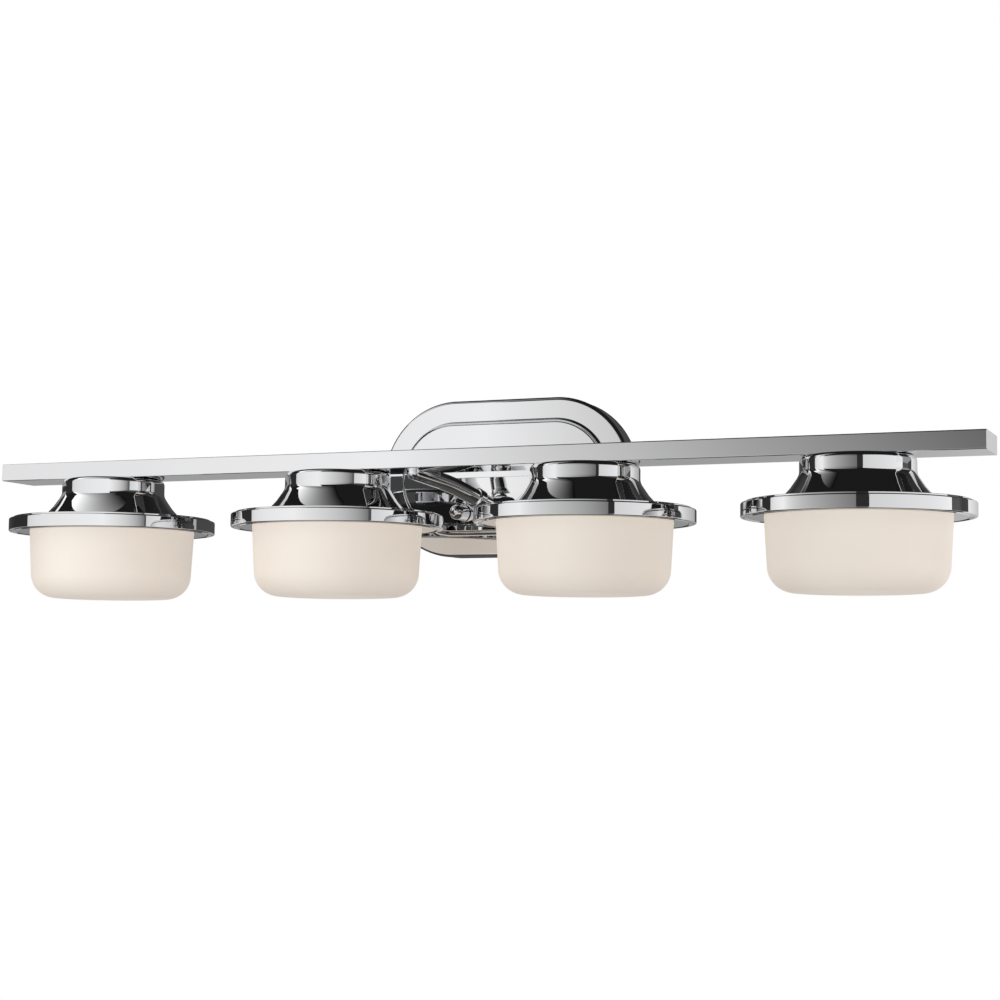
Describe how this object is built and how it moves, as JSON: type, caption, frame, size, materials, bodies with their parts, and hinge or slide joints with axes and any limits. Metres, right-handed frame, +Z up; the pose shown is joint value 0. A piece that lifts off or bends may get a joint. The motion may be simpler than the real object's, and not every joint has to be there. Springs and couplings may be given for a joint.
{
  "type": "vanity light bar",
  "caption": "Wall light with a long flat bar on a curved arm and oblong back plate, carrying a row of bells with screw-on bands that hold short opal glass cups.",
  "frame": {"origin": "centre of the back plate, in the plane of the wall", "axes": "+X along the bar to the right as seen from the room, +Y into the wall, +Z up"},
  "size_m": [0.814, 0.1989, 0.165],
  "materials": {
    "chrome": "mirror polished plate",
    "opal": "matte opal white",
    "steel": "zinc plated",
    "brass": "plain",
    "silicone": "matte",
    "porcelain": "satin",
    "lamp_glass": "frosted"
  },
  "bodies": {
    "fixture": {"bar": "chrome", "bar_cap_left": "chrome", "bar_cap_right": "chrome", "arm": "chrome", "arm_collar": "chrome", "arm_stub": "steel", "arm_nut": "steel", "canopy": "chrome", "mounting_plate": "steel", "studs": "steel", "stud_nuts": "steel", "ground_screw": "brass", "cap_nut_left": "chrome", "cap_nut_right": "chrome", "nipples": "steel", "nuts_upper": "steel", "nuts_lower": "steel", "bell_1": "chrome", "skirt_1": "chrome", "socket_1": "porcelain", "socket_bracket_1": "steel", "bell_2": "chrome", "skirt_2": "chrome", "socket_2": "porcelain", "socket_bracket_2": "steel", "bell_3": "chrome", "skirt_3": "chrome", "socket_3": "porcelain", "socket_bracket_3": "steel", "bell_4": "chrome", "skirt_4": "chrome", "socket_4": "porcelain", "socket_bracket_4": "steel"},
    "glass_1": {"shade_1": "opal", "gasket_1": "silicone"},
    "band_1": {"ring_1": "chrome"},
    "lamp_1": {"bulb_1": "lamp_glass"},
    "glass_2": {"shade_2": "opal", "gasket_2": "silicone"},
    "band_2": {"ring_2": "chrome"},
    "lamp_2": {"bulb_2": "lamp_glass"},
    "glass_3": {"shade_3": "opal", "gasket_3": "silicone"},
    "band_3": {"ring_3": "chrome"},
    "lamp_3": {"bulb_3": "lamp_glass"},
    "glass_4": {"shade_4": "opal", "gasket_4": "silicone"},
    "band_4": {"ring_4": "chrome"},
    "lamp_4": {"bulb_4": "lamp_glass"}
  },
  "joints": [
    {"name": "shade_drop_1", "type": "slide", "parent": "fixture", "child": "glass_1", "axis": [0, 0, -1], "range_m": [0, 0.006]},
    {"name": "ring_turn_1", "type": "hinge", "parent": "glass_1", "child": "band_1", "pos_m": [-0.312, -0.115, -0.0415], "axis": [0, 0, -1], "range_deg": [0, 360]},
    {"name": "bulb_pull_1", "type": "slide", "parent": "fixture", "child": "lamp_1", "axis": [0, 0, -1], "range_m": [0, 0.012]},
    {"name": "shade_drop_2", "type": "slide", "parent": "fixture", "child": "glass_2", "axis": [0, 0, -1], "range_m": [0, 0.006]},
    {"name": "ring_turn_2", "type": "hinge", "parent": "glass_2", "child": "band_2", "pos_m": [-0.104, -0.115, -0.0415], "axis": [0, 0, -1], "range_deg": [0, 360]},
    {"name": "bulb_pull_2", "type": "slide", "parent": "fixture", "child": "lamp_2", "axis": [0, 0, -1], "range_m": [0, 0.012]},
    {"name": "shade_drop_3", "type": "slide", "parent": "fixture", "child": "glass_3", "axis": [0, 0, -1], "range_m": [0, 0.006]},
    {"name": "ring_turn_3", "type": "hinge", "parent": "glass_3", "child": "band_3", "pos_m": [0.104, -0.115, -0.0415], "axis": [0, 0, -1], "range_deg": [0, 360]},
    {"name": "bulb_pull_3", "type": "slide", "parent": "fixture", "child": "lamp_3", "axis": [0, 0, -1], "range_m": [0, 0.012]},
    {"name": "shade_drop_4", "type": "slide", "parent": "fixture", "child": "glass_4", "axis": [0, 0, -1], "range_m": [0, 0.006]},
    {"name": "ring_turn_4", "type": "hinge", "parent": "glass_4", "child": "band_4", "pos_m": [0.312, -0.115, -0.0415], "axis": [0, 0, -1], "range_deg": [0, 360]},
    {"name": "bulb_pull_4", "type": "slide", "parent": "fixture", "child": "lamp_4", "axis": [0, 0, -1], "range_m": [0, 0.012]}
  ],
  "couplings": [
    {"joint": "shade_drop_1", "follows": "ring_turn_1", "m_per_rad": 0.00095492},
    {"joint": "shade_drop_2", "follows": "ring_turn_2", "m_per_rad": 0.00095492},
    {"joint": "shade_drop_3", "follows": "ring_turn_3", "m_per_rad": 0.00095492},
    {"joint": "shade_drop_4", "follows": "ring_turn_4", "m_per_rad": 0.00095492}
  ]
}
